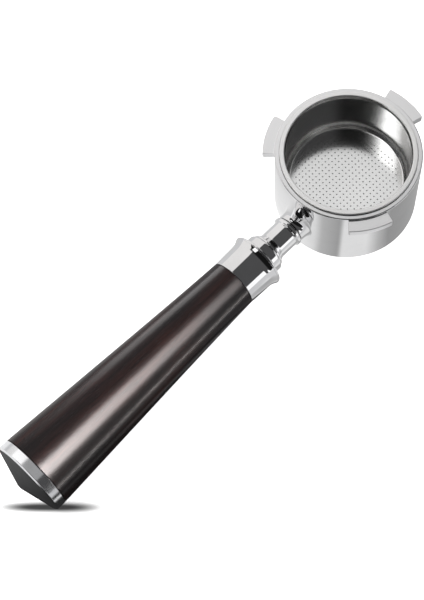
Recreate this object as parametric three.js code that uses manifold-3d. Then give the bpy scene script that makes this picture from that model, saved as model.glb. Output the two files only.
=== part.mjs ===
// Bottomless portafilter for a three-lug 51 mm group, as an assembly of its bench pieces.
// Millimetres, +Z up out of the mouth. The origin is the centre of the cup's top face,
// the handle runs along -X and the lugs stand in a ring just below the top face.
import * as THREE from 'three';
import { mergeVertices } from 'three/addons/utils/BufferGeometryUtils.js';
import Module from 'manifold-3d';

const wasm = await Module();
wasm.setup();

// ---------------------------------------------------------------- driving dimensions
const CUP_RADIUS = 30;             // outside of the cup wall and of its top face
const CUP_HEIGHT = 37;
const CUP_WALL = 3;
const CUP_EDGE = 0.9;              // chamfer round the foot of the wall
const TOP_EDGE = 0.25;             // broken edge round the top face

const LUG_COUNT = 3;
const LUG_REACH = 4.9;             // how far a lug stands out from the wall
const LUG_HALF_ANGLE = 15.2;       // degrees
const LUG_FIRST_ANGLE = -2;        // degrees, the lug opposite the handle
const LUG_DROP = 0.95;             // lug top below the top face
const LUG_THICKNESS = 3.2;

const BASKET_WALL = 0.6;
const BASKET_RIM_WIDTH = 2.1;      // rolled rim, seen from above
const BASKET_RIM_PROUD = 0.9;      // rim above the cup's top face
const BASKET_RIM_DEPTH = 2.1;
const BASKET_DEPTH = 23.2;           // from the cup's top face to the inside of the floor
const BASKET_LEDGE_DEPTH = 21;     // where the wall steps in
const BASKET_LEDGE_WIDTH = 1.3;
const BASKET_TAPER = 0.2;          // lower wall narrows by this much on the radius
const BASKET_CORNER = 0.7;
const BASKET_SIDE_GAP = 0.8;       // between basket and bore, on the radius

const SPRING_WIRE = 1.2;           // diameter of the retaining wire
const SPRING_DEPTH = 7;            // its groove below the top face
const SPRING_ARC = 330;            // degrees of wire

const HANDLE_DEPTH = 20;           // handle axis below the top face
const BOSS_LENGTH = 4.2;           // boss end beyond the wall
const BOSS_COLLAR = 1.5;           // metal round the threaded hole at the boss's end
const BOSS_FLARE = 8.5;            // radius of the trumpet blend into the wall
const BOSS_RISE = 1.5;             // how much the blend is stretched up under the top face
const BOSS_FLOOR = 1.4;            // metal left between the threaded hole and the bore

const ROD_RADIUS = 4.7;            // front stretch of the core rod
const ROD_TAIL_RADIUS = 3.7;       // rear stretch, through the grip
const NECK_WALL = 1.2;
const NECK_BEAD_WALL = 0.7;        // metal outside the seal's groove
const NECK_LENGTH = 12.1;
const COLLAR_STAND = 2.6;          // how far the collar stands out from the neck
const COLLAR_LENGTH = 5.5;
const FERRULE_LENGTH = 14.8;
const FERRULE_LIP = 1.55;          // how far the lip stands out from the grip's front end
const FERRULE_WAIST = 0.25;        // and how far the waist does
const FERRULE_FRONT_WALL = 3.8;
const FERRULE_SKIRT = 1.35;        // wall of the skirt over the tenon
const FERRULE_WASHER = 0.8;        // thickness of the fibre washer
const GRIP_LENGTH = 109.1;
const GRIP_FRONT_RADIUS = 10.65;
const GRIP_REAR_RADIUS = 16.45;
const BUSH_LENGTH = 13.8;
const BUSH_WALL = 1.7;
const SPIGOT_LENGTH = 6.5;         // end cap's spigot, inside the grip's rear pocket
const SPIGOT_GROOVE = 2.4;         // from the spigot's end to its seal
const POCKET_WALL = 7.15;          // wood round the rear pocket
const WASHER_THICKNESS = 1.6;
const LOCK_WASHER_THICKNESS = 1.7;
const NUT_HEIGHT = 6.2;
const NUT_FLATS = 13;
const CAP_BAND = 3.9;
const CAP_CONE = 4.8;
const CAP_EDGE = 0.6;
const SEAL_SECTION = 1;            // O-ring section diameter

const GAP = 0.3;                   // clearance between neighbouring pieces
const ROUND = 64;                  // facets round the cup
const TURNED = 32;                 // facets round the handle's turned pieces
const SMALL = 20;                  // facets round small inner pieces

// ---------------------------------------------------------------- materials
const metal = (color, roughness) => new THREE.MeshStandardMaterial({ color, roughness, metalness: 1 });
const matt = (color, roughness) => new THREE.MeshStandardMaterial({ color, roughness, metalness: 0 });
const CHROME = 0xd9dadb;
const STEEL = 0xc4c4c2;
const ALUMINIUM = 0xd5d7da;
const BRASS = 0xb9984f;
const EBONY = 0x2c2020;
const RUBBER = 0x1b1b1b;
const FIBRE = 0x7a3b2c;

// ---------------------------------------------------------------- shape helpers
const radians = (degrees) => degrees * Math.PI / 180;

// A closed section of [radius, height] points turned about the Y axis.
function turned(section, facets) {
  const points = section.map(([radius, height]) => new THREE.Vector2(radius, height));
  const first = points[0];
  const last = points[points.length - 1];
  const onAxis = first.x === 0 && last.x === 0;
  if (!onAxis) points.push(first.clone());
  return new THREE.LatheGeometry(points, facets);
}

// Points on an arc round (radius, height), from one angle to another, in degrees.
function arc(radius, height, size, from, to, steps) {
  const points = [];
  for (let i = 0; i <= steps; i += 1) {
    const angle = radians(from + (to - from) * i / steps);
    points.push([radius + size * Math.cos(angle), height + size * Math.sin(angle)]);
  }
  return points;
}

// A plain ring: outer and inner radius, from one height to another.
const ring = (inner, outer, low, high, facets) =>
  turned([[inner, low], [outer, low], [outer, high], [inner, high]], facets);

// An O-ring: a small round section turned about the axis.
function sealRing(centreRadius, height, facets) {
  const section = arc(centreRadius, height, SEAL_SECTION / 2, 0, 300, 5);
  return turned(section, facets);
}

function toSolid(geometry) {
  const bare = geometry.clone();
  bare.deleteAttribute('normal');
  bare.deleteAttribute('uv');
  const merged = mergeVertices(bare, 1e-4);
  const vertProperties = new Float32Array(merged.attributes.position.array);
  const triVerts = new Uint32Array(merged.index.array);
  return new wasm.Manifold(new wasm.Mesh({ numProp: 3, vertProperties, triVerts }));
}

function toGeometry(solid) {
  const mesh = solid.getMesh();
  const geometry = new THREE.BufferGeometry();
  geometry.setAttribute('position', new THREE.BufferAttribute(mesh.vertProperties, 3));
  geometry.setIndex(new THREE.BufferAttribute(mesh.triVerts, 1));
  return geometry;
}

function named(name, geometry, material) {
  const mesh = new THREE.Mesh(geometry, material);
  mesh.name = name;
  return mesh;
}

// ---------------------------------------------------------------- cup
const boreRadius = CUP_RADIUS - CUP_WALL;
const rimOuter = boreRadius - BASKET_SIDE_GAP + BASKET_RIM_WIDTH - 0.25;
const rimInner = rimOuter - BASKET_RIM_WIDTH;
const seatDepth = BASKET_RIM_DEPTH - BASKET_RIM_PROUD + 0.05;
const grooveRadius = boreRadius + SPRING_WIRE * 0.8;
const grooveHalf = SPRING_WIRE / 2 + GAP;
const bossEnd = CUP_RADIUS + BOSS_LENGTH;
const holeRadius = ROD_RADIUS + GAP;
const bossRadius = holeRadius + BOSS_COLLAR;

// Wall of the cup: bore, spring groove, rim seat and broken edges, axis along Y.
function cupWall() {
  const seatRadius = rimOuter + GAP;
  return turned([
    [boreRadius + 0.5, -CUP_HEIGHT],
    [CUP_RADIUS - CUP_EDGE, -CUP_HEIGHT],
    [CUP_RADIUS - CUP_EDGE * 0.3, -CUP_HEIGHT + CUP_EDGE * 0.3],
    [CUP_RADIUS, -CUP_HEIGHT + CUP_EDGE],
    [CUP_RADIUS, -TOP_EDGE],
    [CUP_RADIUS - TOP_EDGE, 0],
    [seatRadius, 0],
    [seatRadius, -seatDepth - GAP],
    [boreRadius, -seatDepth - GAP],
    [boreRadius, -SPRING_DEPTH + grooveHalf],
    [grooveRadius, -SPRING_DEPTH + grooveHalf * 0.7],
    [grooveRadius, -SPRING_DEPTH - grooveHalf * 0.7],
    [boreRadius, -SPRING_DEPTH - grooveHalf],
    [boreRadius, -CUP_HEIGHT + 0.5],
  ], ROUND).rotateX(Math.PI / 2);
}

// One lug: an arc-shaped plate rooted in the wall, its outer corners rounded off.
function lug(angle) {
  const outer = CUP_RADIUS + LUG_REACH;
  const root = CUP_RADIUS - CUP_WALL / 2;
  const half = radians(LUG_HALF_ANGLE);
  const corner = 0.6;
  const turn = corner / outer;
  const plate = new THREE.Shape();
  plate.moveTo(root * Math.cos(half), -root * Math.sin(half));
  plate.lineTo((outer - corner) * Math.cos(half), -(outer - corner) * Math.sin(half));
  plate.absarc(0, 0, outer, -half + turn, half - turn, false);
  plate.lineTo((outer - corner) * Math.cos(half), (outer - corner) * Math.sin(half));
  plate.lineTo(root * Math.cos(half), root * Math.sin(half));
  plate.absarc(0, 0, root, half, -half, true);
  return new THREE.ExtrudeGeometry(plate, { depth: LUG_THICKNESS, bevelEnabled: false, curveSegments: 10 })
    .translate(0, 0, -LUG_DROP - LUG_THICKNESS)
    .rotateZ(radians(angle));
}

// Boss for the handle: a trumpet turned about the handle axis, its upper half drawn up
// the wall as it widens, so that the blend ends under the top face.
function boss() {
  const reach = BOSS_LENGTH + CUP_WALL * 0.75;
  const steps = 9;
  const section = [[0, bossEnd - reach]];
  for (let i = 0; i <= steps; i += 1) {
    const depth = reach * (1 - i / steps);
    const flare = BOSS_FLARE - Math.sqrt(BOSS_FLARE ** 2 - depth ** 2);
    section.push([bossRadius + flare, bossEnd - depth]);
  }
  section.push([0, bossEnd]);
  const trumpet = new THREE.LatheGeometry(section.map(([r, h]) => new THREE.Vector2(r, h)), TURNED);
  const position = trumpet.attributes.position;
  for (let i = 0; i < position.count; i += 1) {
    const depth = Math.max(bossEnd - position.getY(i), 0) / BOSS_LENGTH;
    if (position.getZ(i) > 0) position.setZ(i, position.getZ(i) * (1 + BOSS_RISE * depth ** 1.7));
  }
  return trumpet.rotateZ(Math.PI / 2).translate(0, 0, -HANDLE_DEPTH);
}

function cupBody() {
  const wall = toSolid(cupWall());
  const size = CUP_RADIUS + BOSS_LENGTH;
  const belowTop = new THREE.BoxGeometry(4 * size, 4 * size, CUP_HEIGHT - LUG_DROP - CUP_EDGE);
  belowTop.translate(0, 0, -LUG_DROP - (CUP_HEIGHT - LUG_DROP - CUP_EDGE) / 2);
  const midWall = boreRadius + CUP_WALL / 2;
  const core = new THREE.CylinderGeometry(midWall, midWall, 2 * CUP_HEIGHT, ROUND);
  core.rotateX(Math.PI / 2);
  const blend = toSolid(boss()).intersect(toSolid(belowTop)).subtract(toSolid(core));
  let body = wall.add(blend);
  for (let i = 0; i < LUG_COUNT; i += 1) {
    body = body.add(toSolid(lug(LUG_FIRST_ANGLE + i * 360 / LUG_COUNT)));
  }
  const hole = new THREE.CylinderGeometry(holeRadius, holeRadius, CUP_WALL + 2 * BOSS_LENGTH, SMALL);
  hole.translate(0, midWall + BOSS_FLOOR + BOSS_LENGTH, 0);
  hole.rotateZ(Math.PI / 2);
  hole.translate(0, 0, -HANDLE_DEPTH);
  return named('cup_body', toGeometry(body.subtract(toSolid(hole))), metal(CHROME, 0.12));
}

// ---------------------------------------------------------------- basket and its spring
// Thin wall with a rolled rim, a ledge low down and a rounded corner into the floor.
function filterBasket() {
  const top = BASKET_RIM_PROUD;
  const bottom = top - BASKET_RIM_DEPTH;
  const round = 0.7;
  const upper = boreRadius - BASKET_SIDE_GAP - BASKET_WALL;
  const lower = upper - BASKET_LEDGE_WIDTH;
  const foot = lower - BASKET_TAPER;
  const ledge = -BASKET_LEDGE_DEPTH;
  const floor = -BASKET_DEPTH;
  const wall = BASKET_WALL;
  return named('filter_basket', turned([
    [0, floor - wall],
    [foot - BASKET_CORNER, floor - wall],
    ...arc(foot - BASKET_CORNER, floor + BASKET_CORNER, BASKET_CORNER + wall, -70, 0, 4),
    [lower + wall, ledge - BASKET_LEDGE_WIDTH],
    [upper + wall, ledge],
    [upper + wall, bottom],
    [rimOuter - 0.3, bottom],
    [rimOuter, bottom + 0.3],
    ...arc(rimOuter - round, top - round, round, 0, 90, 3),
    ...arc(rimInner + round, top - round, round, 90, 180, 3),
    [upper, bottom],
    [upper, ledge + 0.2],
    [lower, ledge - BASKET_LEDGE_WIDTH + 0.2],
    ...arc(foot - BASKET_CORNER, floor + BASKET_CORNER, BASKET_CORNER, 0, -90, 4),
    [0, floor],
  ], ROUND).rotateX(Math.PI / 2), metal(STEEL, 0.2));
}

// Open wire ring that lies in the cup's groove and grips the basket.
function basketSpring() {
  const centre = boreRadius + SPRING_WIRE * 0.2;
  const half = radians(SPRING_ARC / 2);
  class WireArc extends THREE.Curve {
    getPoint(t, target = new THREE.Vector3()) {
      const angle = -half + 2 * half * t;
      return target.set(centre * Math.cos(angle), centre * Math.sin(angle), 0);
    }
  }
  const section = new THREE.Shape();
  section.absarc(0, 0, SPRING_WIRE / 2, 0, 2 * Math.PI, false);
  const wire = new THREE.ExtrudeGeometry(section, {
    steps: 60,
    curveSegments: 4,
    extrudePath: new WireArc(),
  });
  return named('basket_spring', wire.translate(0, 0, -SPRING_DEPTH), metal(STEEL, 0.25));
}

// ---------------------------------------------------------------- handle
// Places along the handle, as distances from the cup's axis.
const neckStart = bossEnd + GAP;
const neckEnd = neckStart + NECK_LENGTH;
const collarStart = neckEnd + GAP;
const collarEnd = collarStart + COLLAR_LENGTH;
const ferruleStart = collarEnd + GAP;
const ferruleEnd = ferruleStart + FERRULE_LENGTH;
const gripStart = ferruleEnd + GAP;
const gripEnd = gripStart + GRIP_LENGTH;
const socketFloor = ferruleStart + FERRULE_FRONT_WALL;
const tenonStart = socketFloor + FERRULE_WASHER + 2 * GAP;
const bushStart = tenonStart + GAP;
const bushEnd = bushStart + BUSH_LENGTH;
const capStart = gripEnd + GAP;
const spigotStart = capStart - SPIGOT_LENGTH;
const nutStart = spigotStart - GAP - NUT_HEIGHT;
const lockStart = nutStart - GAP - LOCK_WASHER_THICKNESS;
const washerStart = lockStart - GAP - WASHER_THICKNESS;
const pocketFloor = washerStart - GAP;
const pocketRadius = GRIP_REAR_RADIUS - POCKET_WALL;
const spigotRadius = pocketRadius - GAP;
const tailHole = ROD_TAIL_RADIUS + GAP;
const bushOuter = holeRadius + BUSH_WALL;
const sealCentre = holeRadius + SEAL_SECTION / 2;
const sealGroove = SEAL_SECTION + GAP;
const neckRadius = holeRadius + NECK_WALL;
const beadRadius = holeRadius + sealGroove + NECK_BEAD_WALL;
const collarRadius = neckRadius + COLLAR_STAND;
const tenonRadius = GRIP_FRONT_RADIUS - FERRULE_SKIRT - GAP;

function coreRod() {
  const start = boreRadius + BOSS_FLOOR + GAP;
  const shoulder = bushEnd - GAP;
  const end = capStart - 1;
  return named('core_rod', turned([
    [0, start],
    [ROD_RADIUS - 0.6, start],
    [ROD_RADIUS, start + 0.6],
    [ROD_RADIUS, shoulder],
    [ROD_TAIL_RADIUS, shoulder],
    [ROD_TAIL_RADIUS, end - 0.6],
    [ROD_TAIL_RADIUS - 0.6, end],
    [0, end],
  ], SMALL), metal(STEEL, 0.3));
}

const bossSeal = () =>
  named('boss_o_ring', sealRing(sealCentre, neckStart + SEAL_SECTION / 2, SMALL), matt(RUBBER, 0.6));

// Neck: a plain sleeve with a rounded bead where it meets the boss and a small flare behind.
function neckSleeve() {
  const bead = 0.7;
  return named('neck_sleeve', turned([
    [holeRadius + sealGroove, neckStart],
    ...arc(beadRadius - bead, neckStart + bead, bead, -90, 60, 5),
    [neckRadius + 0.15, neckStart + 2.4],
    [neckRadius, neckStart + 3.2],
    [neckRadius, neckEnd - 2.2],
    [neckRadius + 0.3, neckEnd - 0.9],
    [neckRadius + 0.8, neckEnd],
    [holeRadius, neckEnd],
    [holeRadius, neckStart + sealGroove],
    [holeRadius + sealGroove, neckStart + sealGroove],
  ], TURNED), metal(CHROME, 0.06));
}

// Collar: a fat rounded ring with a narrower step towards the neck.
function neckCollar() {
  const step = 0.9;
  const round = 1.5;
  return named('neck_collar', turned([
    [holeRadius, collarStart],
    [collarRadius - step - 0.6, collarStart],
    [collarRadius - step, collarStart + 0.5],
    ...arc(collarRadius - round, collarStart + 0.7 + round, round, -60, 0, 4),
    ...arc(collarRadius - 0.8, collarEnd - 0.8, 0.8, 0, 90, 3),
    [holeRadius, collarEnd],
  ], TURNED), metal(CHROME, 0.06));
}

// Bell ferrule: a rolled lip, a hollow flare and a straight skirt over the grip's tenon.
function bellFerrule() {
  const lip = 0.6;
  const lipRadius = GRIP_FRONT_RADIUS + FERRULE_LIP;
  const waistRadius = GRIP_FRONT_RADIUS + FERRULE_WAIST;
  const waist = ferruleStart + 5.4;
  return named('bell_ferrule', turned([
    [holeRadius, ferruleStart],
    [lipRadius - lip, ferruleStart],
    ...arc(lipRadius - lip, ferruleStart + lip, lip, -60, 70, 5),
    [waistRadius + 0.75, ferruleStart + 2],
    [waistRadius + 0.3, ferruleStart + 3.4],
    [waistRadius + 0.05, waist],
    [waistRadius, waist + 1.6],
    [GRIP_FRONT_RADIUS, ferruleEnd],
    [tenonRadius + GAP, ferruleEnd],
    [tenonRadius + GAP, socketFloor],
    [holeRadius, socketFloor],
  ], TURNED), metal(CHROME, 0.06));
}

const ferruleWasher = () => named(
  'ferrule_washer',
  ring(holeRadius, tenonRadius, socketFloor + GAP, tenonStart - GAP, SMALL),
  matt(FIBRE, 0.8),
);

const frontBush = () =>
  named('front_bush', ring(holeRadius, bushOuter, bushStart, bushEnd, SMALL), metal(BRASS, 0.3));

// Grip: a long taper, very slightly hollow, bored through for the rod, with a tenon for the
// ferrule in front and a pocket for the nut and the cap's spigot behind.
function woodGrip() {
  const outside = [];
  const steps = 8;
  for (let i = 0; i <= steps; i += 1) {
    const share = i / steps;
    const hollow = 0.25 * Math.sin(Math.PI * share ** 0.6);
    const radius = GRIP_FRONT_RADIUS + (GRIP_REAR_RADIUS - GRIP_FRONT_RADIUS) * share;
    outside.push([radius - hollow, gripStart + GRIP_LENGTH * share]);
  }
  return named('wood_grip', turned([
    [bushOuter + GAP, tenonStart],
    [tenonRadius - 0.5, tenonStart],
    [tenonRadius, tenonStart + 0.5],
    [tenonRadius, gripStart],
    ...outside,
    [pocketRadius, gripEnd],
    [pocketRadius, pocketFloor],
    [tailHole, pocketFloor],
    [tailHole, bushEnd + GAP],
    [bushOuter + GAP, bushEnd + GAP],
  ], TURNED), matt(EBONY, 0.35));
}

const rearWasher = () => named(
  'rear_washer',
  ring(tailHole, tenonRadius, washerStart, washerStart + WASHER_THICKNESS, SMALL),
  metal(STEEL, 0.35),
);

// Split washer: a square-section ring with a narrow cut.
function lockWasher() {
  const outer = NUT_FLATS / 2 + 0.4;
  const cut = radians(8);
  const plate = new THREE.Shape();
  plate.absarc(0, 0, outer, cut, 2 * Math.PI - cut, false);
  plate.absarc(0, 0, tailHole, 2 * Math.PI - cut, cut, true);
  plate.closePath();
  const body = new THREE.ExtrudeGeometry(plate, {
    depth: LOCK_WASHER_THICKNESS,
    bevelEnabled: false,
    curveSegments: SMALL / 2,
  });
  body.rotateX(-Math.PI / 2).translate(0, lockStart, 0);
  return named('lock_washer', body, metal(STEEL, 0.4));
}

// Hex nut on the rod's tail.
function rodNut() {
  const corner = NUT_FLATS / 2 / Math.cos(Math.PI / 6);
  const outline = new THREE.Shape();
  for (let i = 0; i < 6; i += 1) {
    const angle = i * Math.PI / 3;
    const place = [corner * Math.cos(angle), corner * Math.sin(angle)];
    if (i === 0) outline.moveTo(...place);
    else outline.lineTo(...place);
  }
  outline.closePath();
  const hole = new THREE.Path();
  hole.absarc(0, 0, tailHole, 0, 2 * Math.PI, true);
  outline.holes.push(hole);
  const body = new THREE.ExtrudeGeometry(outline, {
    depth: NUT_HEIGHT,
    bevelEnabled: false,
    curveSegments: 12,
  });
  body.rotateX(-Math.PI / 2).translate(0, nutStart, 0);
  return named('rod_nut', body, metal(STEEL, 0.3));
}

// End cap: a straight band the size of the grip's end and a shallow cone, with a spigot
// that carries the seal and screws on the rod's tail.
function endCap() {
  const bandEnd = capStart + CAP_BAND;
  const groove = spigotRadius - SEAL_SECTION - 0.1;
  const grooveStart = spigotStart + SPIGOT_GROOVE;
  return named('end_cap', turned([
    [tailHole, spigotStart],
    [spigotRadius, spigotStart],
    [spigotRadius, grooveStart],
    [groove, grooveStart],
    [groove, grooveStart + sealGroove],
    [spigotRadius, grooveStart + sealGroove],
    [spigotRadius, capStart],
    [GRIP_REAR_RADIUS, capStart],
    [GRIP_REAR_RADIUS, bandEnd],
    [GRIP_REAR_RADIUS - CAP_EDGE * 0.4, bandEnd + CAP_EDGE * 0.6],
    [GRIP_REAR_RADIUS - CAP_EDGE * 1.6, bandEnd + CAP_EDGE],
    [1.2, bandEnd + CAP_CONE - 0.15],
    [0, bandEnd + CAP_CONE],
    [0, capStart],
    [tailHole, capStart],
  ], TURNED), metal(ALUMINIUM, 0.15));
}

function capSeal() {
  const height = spigotStart + SPIGOT_GROOVE + sealGroove / 2;
  const centre = spigotRadius - SEAL_SECTION / 2 + 0.1;
  return named('cap_o_ring', sealRing(centre, height, SMALL), matt(RUBBER, 0.6));
}

// ---------------------------------------------------------------- assembly
const handle = new THREE.Group();
handle.rotation.z = Math.PI / 2;
handle.position.z = -HANDLE_DEPTH;
handle.add(
  coreRod(), bossSeal(), neckSleeve(), neckCollar(), bellFerrule(), ferruleWasher(), frontBush(),
  woodGrip(), rearWasher(), lockWasher(), rodNut(), endCap(), capSeal(),
);

const portafilter = new THREE.Group();
portafilter.add(cupBody(), basketSpring(), filterBasket(), handle);

export default portafilter;
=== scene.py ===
"""Bottomless portafilter: finished surfaces round the fixed frame, with the stage, the lights and the camera.

Metres, +Z up out of the mouth. The origin is the centre of the cup's top face and the handle runs along -X.
"""

import math

import bmesh
import bpy
import numpy as np
from mathutils import Matrix, Vector
from mathutils.geometry import delaunay_2d_cdt


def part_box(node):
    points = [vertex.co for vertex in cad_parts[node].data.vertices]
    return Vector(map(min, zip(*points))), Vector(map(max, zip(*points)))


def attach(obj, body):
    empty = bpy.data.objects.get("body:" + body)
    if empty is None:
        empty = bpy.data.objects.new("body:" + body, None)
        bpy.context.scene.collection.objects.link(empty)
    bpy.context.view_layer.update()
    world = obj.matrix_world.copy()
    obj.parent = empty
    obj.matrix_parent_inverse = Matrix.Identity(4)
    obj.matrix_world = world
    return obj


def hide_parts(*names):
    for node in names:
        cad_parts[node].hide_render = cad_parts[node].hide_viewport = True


bl_info = {
    "name": "Portafilter finish",
    "version": (1, 0, 0),
    "blender": (4, 5, 0),
    "location": "View3D > Sidebar > Portafilter",
    "description": "Builds the finished pieces of a bottomless portafilter and the stage they stand on",
    "category": "Object",
}

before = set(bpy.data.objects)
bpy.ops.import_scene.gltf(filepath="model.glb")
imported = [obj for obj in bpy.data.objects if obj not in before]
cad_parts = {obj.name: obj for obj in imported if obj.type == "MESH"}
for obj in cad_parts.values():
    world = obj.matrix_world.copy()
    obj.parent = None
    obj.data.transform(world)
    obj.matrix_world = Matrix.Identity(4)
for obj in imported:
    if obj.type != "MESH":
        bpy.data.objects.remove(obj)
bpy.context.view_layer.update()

MM = 0.001
GAP = 0.3 * MM  # clearance that the frame leaves between neighbouring pieces
CUP_SIDES = 192  # steps round the basket
HANDLE_SIDES = 144  # steps round the handle's turned pieces
ARC_STEP = math.radians(14)  # longest turn between two points of a rounded corner
SHARP = math.radians(38)  # edges that turn further than this are shaded as corners


# ------------------------------------------------------------------ places taken from the frame
def along(node):
    """Where a handle piece starts and ends, as distances from the cup's axis."""
    low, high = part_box(node)
    return -high.x, -low.x


def across(node):
    """Half the width of a node across the handle."""
    low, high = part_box(node)
    return (high.y - low.y) / 2


def handle_height():
    """Height of the handle's axis."""
    low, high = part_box("bell_ferrule")
    return (low.z + high.z) / 2


CUP_LOW, CUP_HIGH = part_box("cup_body")
BASKET_LOW, BASKET_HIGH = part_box("filter_basket")
SPRING_LOW, SPRING_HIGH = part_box("basket_spring")
NECK_START, NECK_END = along("neck_sleeve")
COLLAR_START, COLLAR_END = along("neck_collar")
FERRULE_START, FERRULE_END = along("bell_ferrule")
TENON_START, GRIP_END = along("wood_grip")
BUSH_END = along("front_bush")[1]
WASHER_START = along("rear_washer")[0]
SPIGOT_START, CAP_END = along("end_cap")
SEAL_START, SEAL_END = along("cap_o_ring")
HANDLE_Z = handle_height()
TENON_RADIUS = across("ferrule_washer")  # the grip's tenon stands a gap inside the ferrule's skirt


# ------------------------------------------------------------------ settings
def length(name, description, default):
    """A length in metres."""
    return bpy.props.FloatProperty(
        name=name, description=description, default=default, unit="LENGTH", precision=5, min=0.0
    )


def share(name, description, default, top=1.0):
    """A plain number from 0 to top."""
    return bpy.props.FloatProperty(name=name, description=description, default=default, min=0.0, max=top)


def angle(name, description, degrees):
    """An angle, given in degrees and kept in radians."""
    return bpy.props.FloatProperty(
        name=name, description=description, default=math.radians(degrees), subtype="ANGLE"
    )


def colour(name, description, default):
    """A linear colour."""
    return bpy.props.FloatVectorProperty(
        name=name, description=description, default=default, size=3, subtype="COLOR", min=0.0, max=1.0
    )


class PortafilterCup(bpy.types.PropertyGroup):
    """Sizes and finish of the cup body."""

    radius: length("Radius", "Outside of the wall", 30 * MM)
    bore: length("Bore", "Inside radius of the wall", 27 * MM)
    seat: length("Seat", "Radius of the recess for the basket's rim", 28.12 * MM)
    seat_depth: length("Seat depth", "Depth of that recess", 1.55 * MM)
    foot_round: length("Foot rounding", "Rounding round the foot", 0.9 * MM)
    top_round: length("Top rounding", "Rounding round the top face", 0.5 * MM)
    lug_reach: length("Lug reach", "How far a lug stands out", CUP_HIGH.x - 30 * MM)
    lug_drop: length("Lug drop", "Lug top below the top face", 0.95 * MM)
    lug_thickness: length("Lug thickness", "Thickness of a lug", 3.2 * MM)
    lug_half: angle("Lug half angle", "Half the angle a lug covers", 15.2)
    lug_first: angle("First lug", "Place of the lug opposite the handle", -2)
    boss_radius: length("Boss radius", "Boss at the neck", 6.5 * MM)
    boss_side: length("Boss side", "Half width of the boss where it meets the wall", 7.5 * MM)
    boss_top: length("Boss top", "Half width of the boss's web under the ring", 4.2 * MM)
    boss_up: length("Boss rise", "How far the boss runs up the wall", 18.6 * MM)
    boss_down: length("Boss drop", "How far the boss runs down the wall", 9.8 * MM)
    chrome: colour("Chrome", "Colour of the plating", (0.86, 0.86, 0.865))
    satin: share("Satin", "Roughness of the top face and the lugs", 0.34)


class PortafilterBasket(bpy.types.PropertyGroup):
    """Sizes and finish of the filter basket and its spring."""

    wall: length("Wall", "Thickness of the sheet", 0.6 * MM)
    rim_width: length("Rim width", "Width of the rolled rim", 2.1 * MM)
    ledge_depth: length("Ledge depth", "Depth of the step in the wall", 21 * MM)
    ledge_width: length("Ledge width", "Width of the step", 1.3 * MM)
    taper: length("Taper", "How much the wall narrows below the step", 0.2 * MM)
    corner: length("Corner", "Rounding between wall and floor", 0.7 * MM)
    dish: length("Dish", "How far the floor sinks at its middle", 0.3 * MM)
    field: length("Field", "Radius of the perforated part of the floor", 21.4 * MM)
    pitch: length("Pitch", "Distance between holes", 1.97 * MM)
    hole: length("Hole", "Diameter of a hole", 0.56 * MM)
    steel: colour("Steel", "Colour of the sheet", (0.78, 0.78, 0.775))
    spring_arc: angle("Spring arc", "Angle that the wire covers", 330)
    wire: length("Wire", "Diameter of the wire", 1.2 * MM)


class PortafilterHandle(bpy.types.PropertyGroup):
    """Sizes and finishes of the handle."""

    rod_hole: length("Rod hole", "Radius of the hole for the core rod", 5 * MM)
    tail_hole: length("Tail hole", "Radius of the hole for the rod's tail", 4 * MM)
    neck_radius: length("Neck radius", "Plain part of the neck", 6.2 * MM)
    lip_round: length("Lip rounding", "Rounding of the ferrule's lip", 0.6 * MM)
    waist: length("Waist", "How far the ferrule's waist stands out from the grip's end", 0.25 * MM)
    grip_front: length("Grip front", "Radius of the grip behind the ferrule", 10.65 * MM)
    grip_hollow: length("Grip hollow", "How much the grip's taper is hollowed", 0.25 * MM)
    cap_band: length("Cap band", "Length of the cap's straight band", 3.9 * MM)
    chrome: colour("Chrome", "Colour of the plating", (0.87, 0.87, 0.875))
    aluminium: colour("Aluminium", "Colour of the end cap", (0.82, 0.825, 0.84))
    wood: colour("Wood", "Colour of the dark wood", (0.0095, 0.0074, 0.008))
    wood_red: colour("Heartwood", "Colour of its redder streaks", (0.03, 0.0125, 0.011))


class PortafilterStage(bpy.types.PropertyGroup):
    """Camera, floor and lights."""

    azimuth: angle("Azimuth", "Direction of the camera round the vertical", -40.60)
    elevation: angle("Elevation", "Height of the camera above the horizon", 67.28)
    roll: angle("Roll", "Turn of the camera about its own axis", -5.26)
    place: bpy.props.FloatVectorProperty(
        name="Place", description="Where the camera stands", default=(-0.2396, -0.1867, 0.5707),
        size=3, subtype="TRANSLATION", unit="LENGTH",
    )
    lens: bpy.props.FloatProperty(
        name="Lens", description="Focal length in millimetres", default=95.24, min=1.0
    )
    floor: colour("Floor", "Colour of the floor", (0.86, 0.86, 0.86))
    glow: share("Floor glow", "Light that the floor gives off, as a light table does", 0.9, 4.0)
    dark: share("Overhead", "Brightness of the dark zone overhead", 0.075)
    black: share("Flag", "Brightness of the black flag behind the handle", 0.008)


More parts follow.
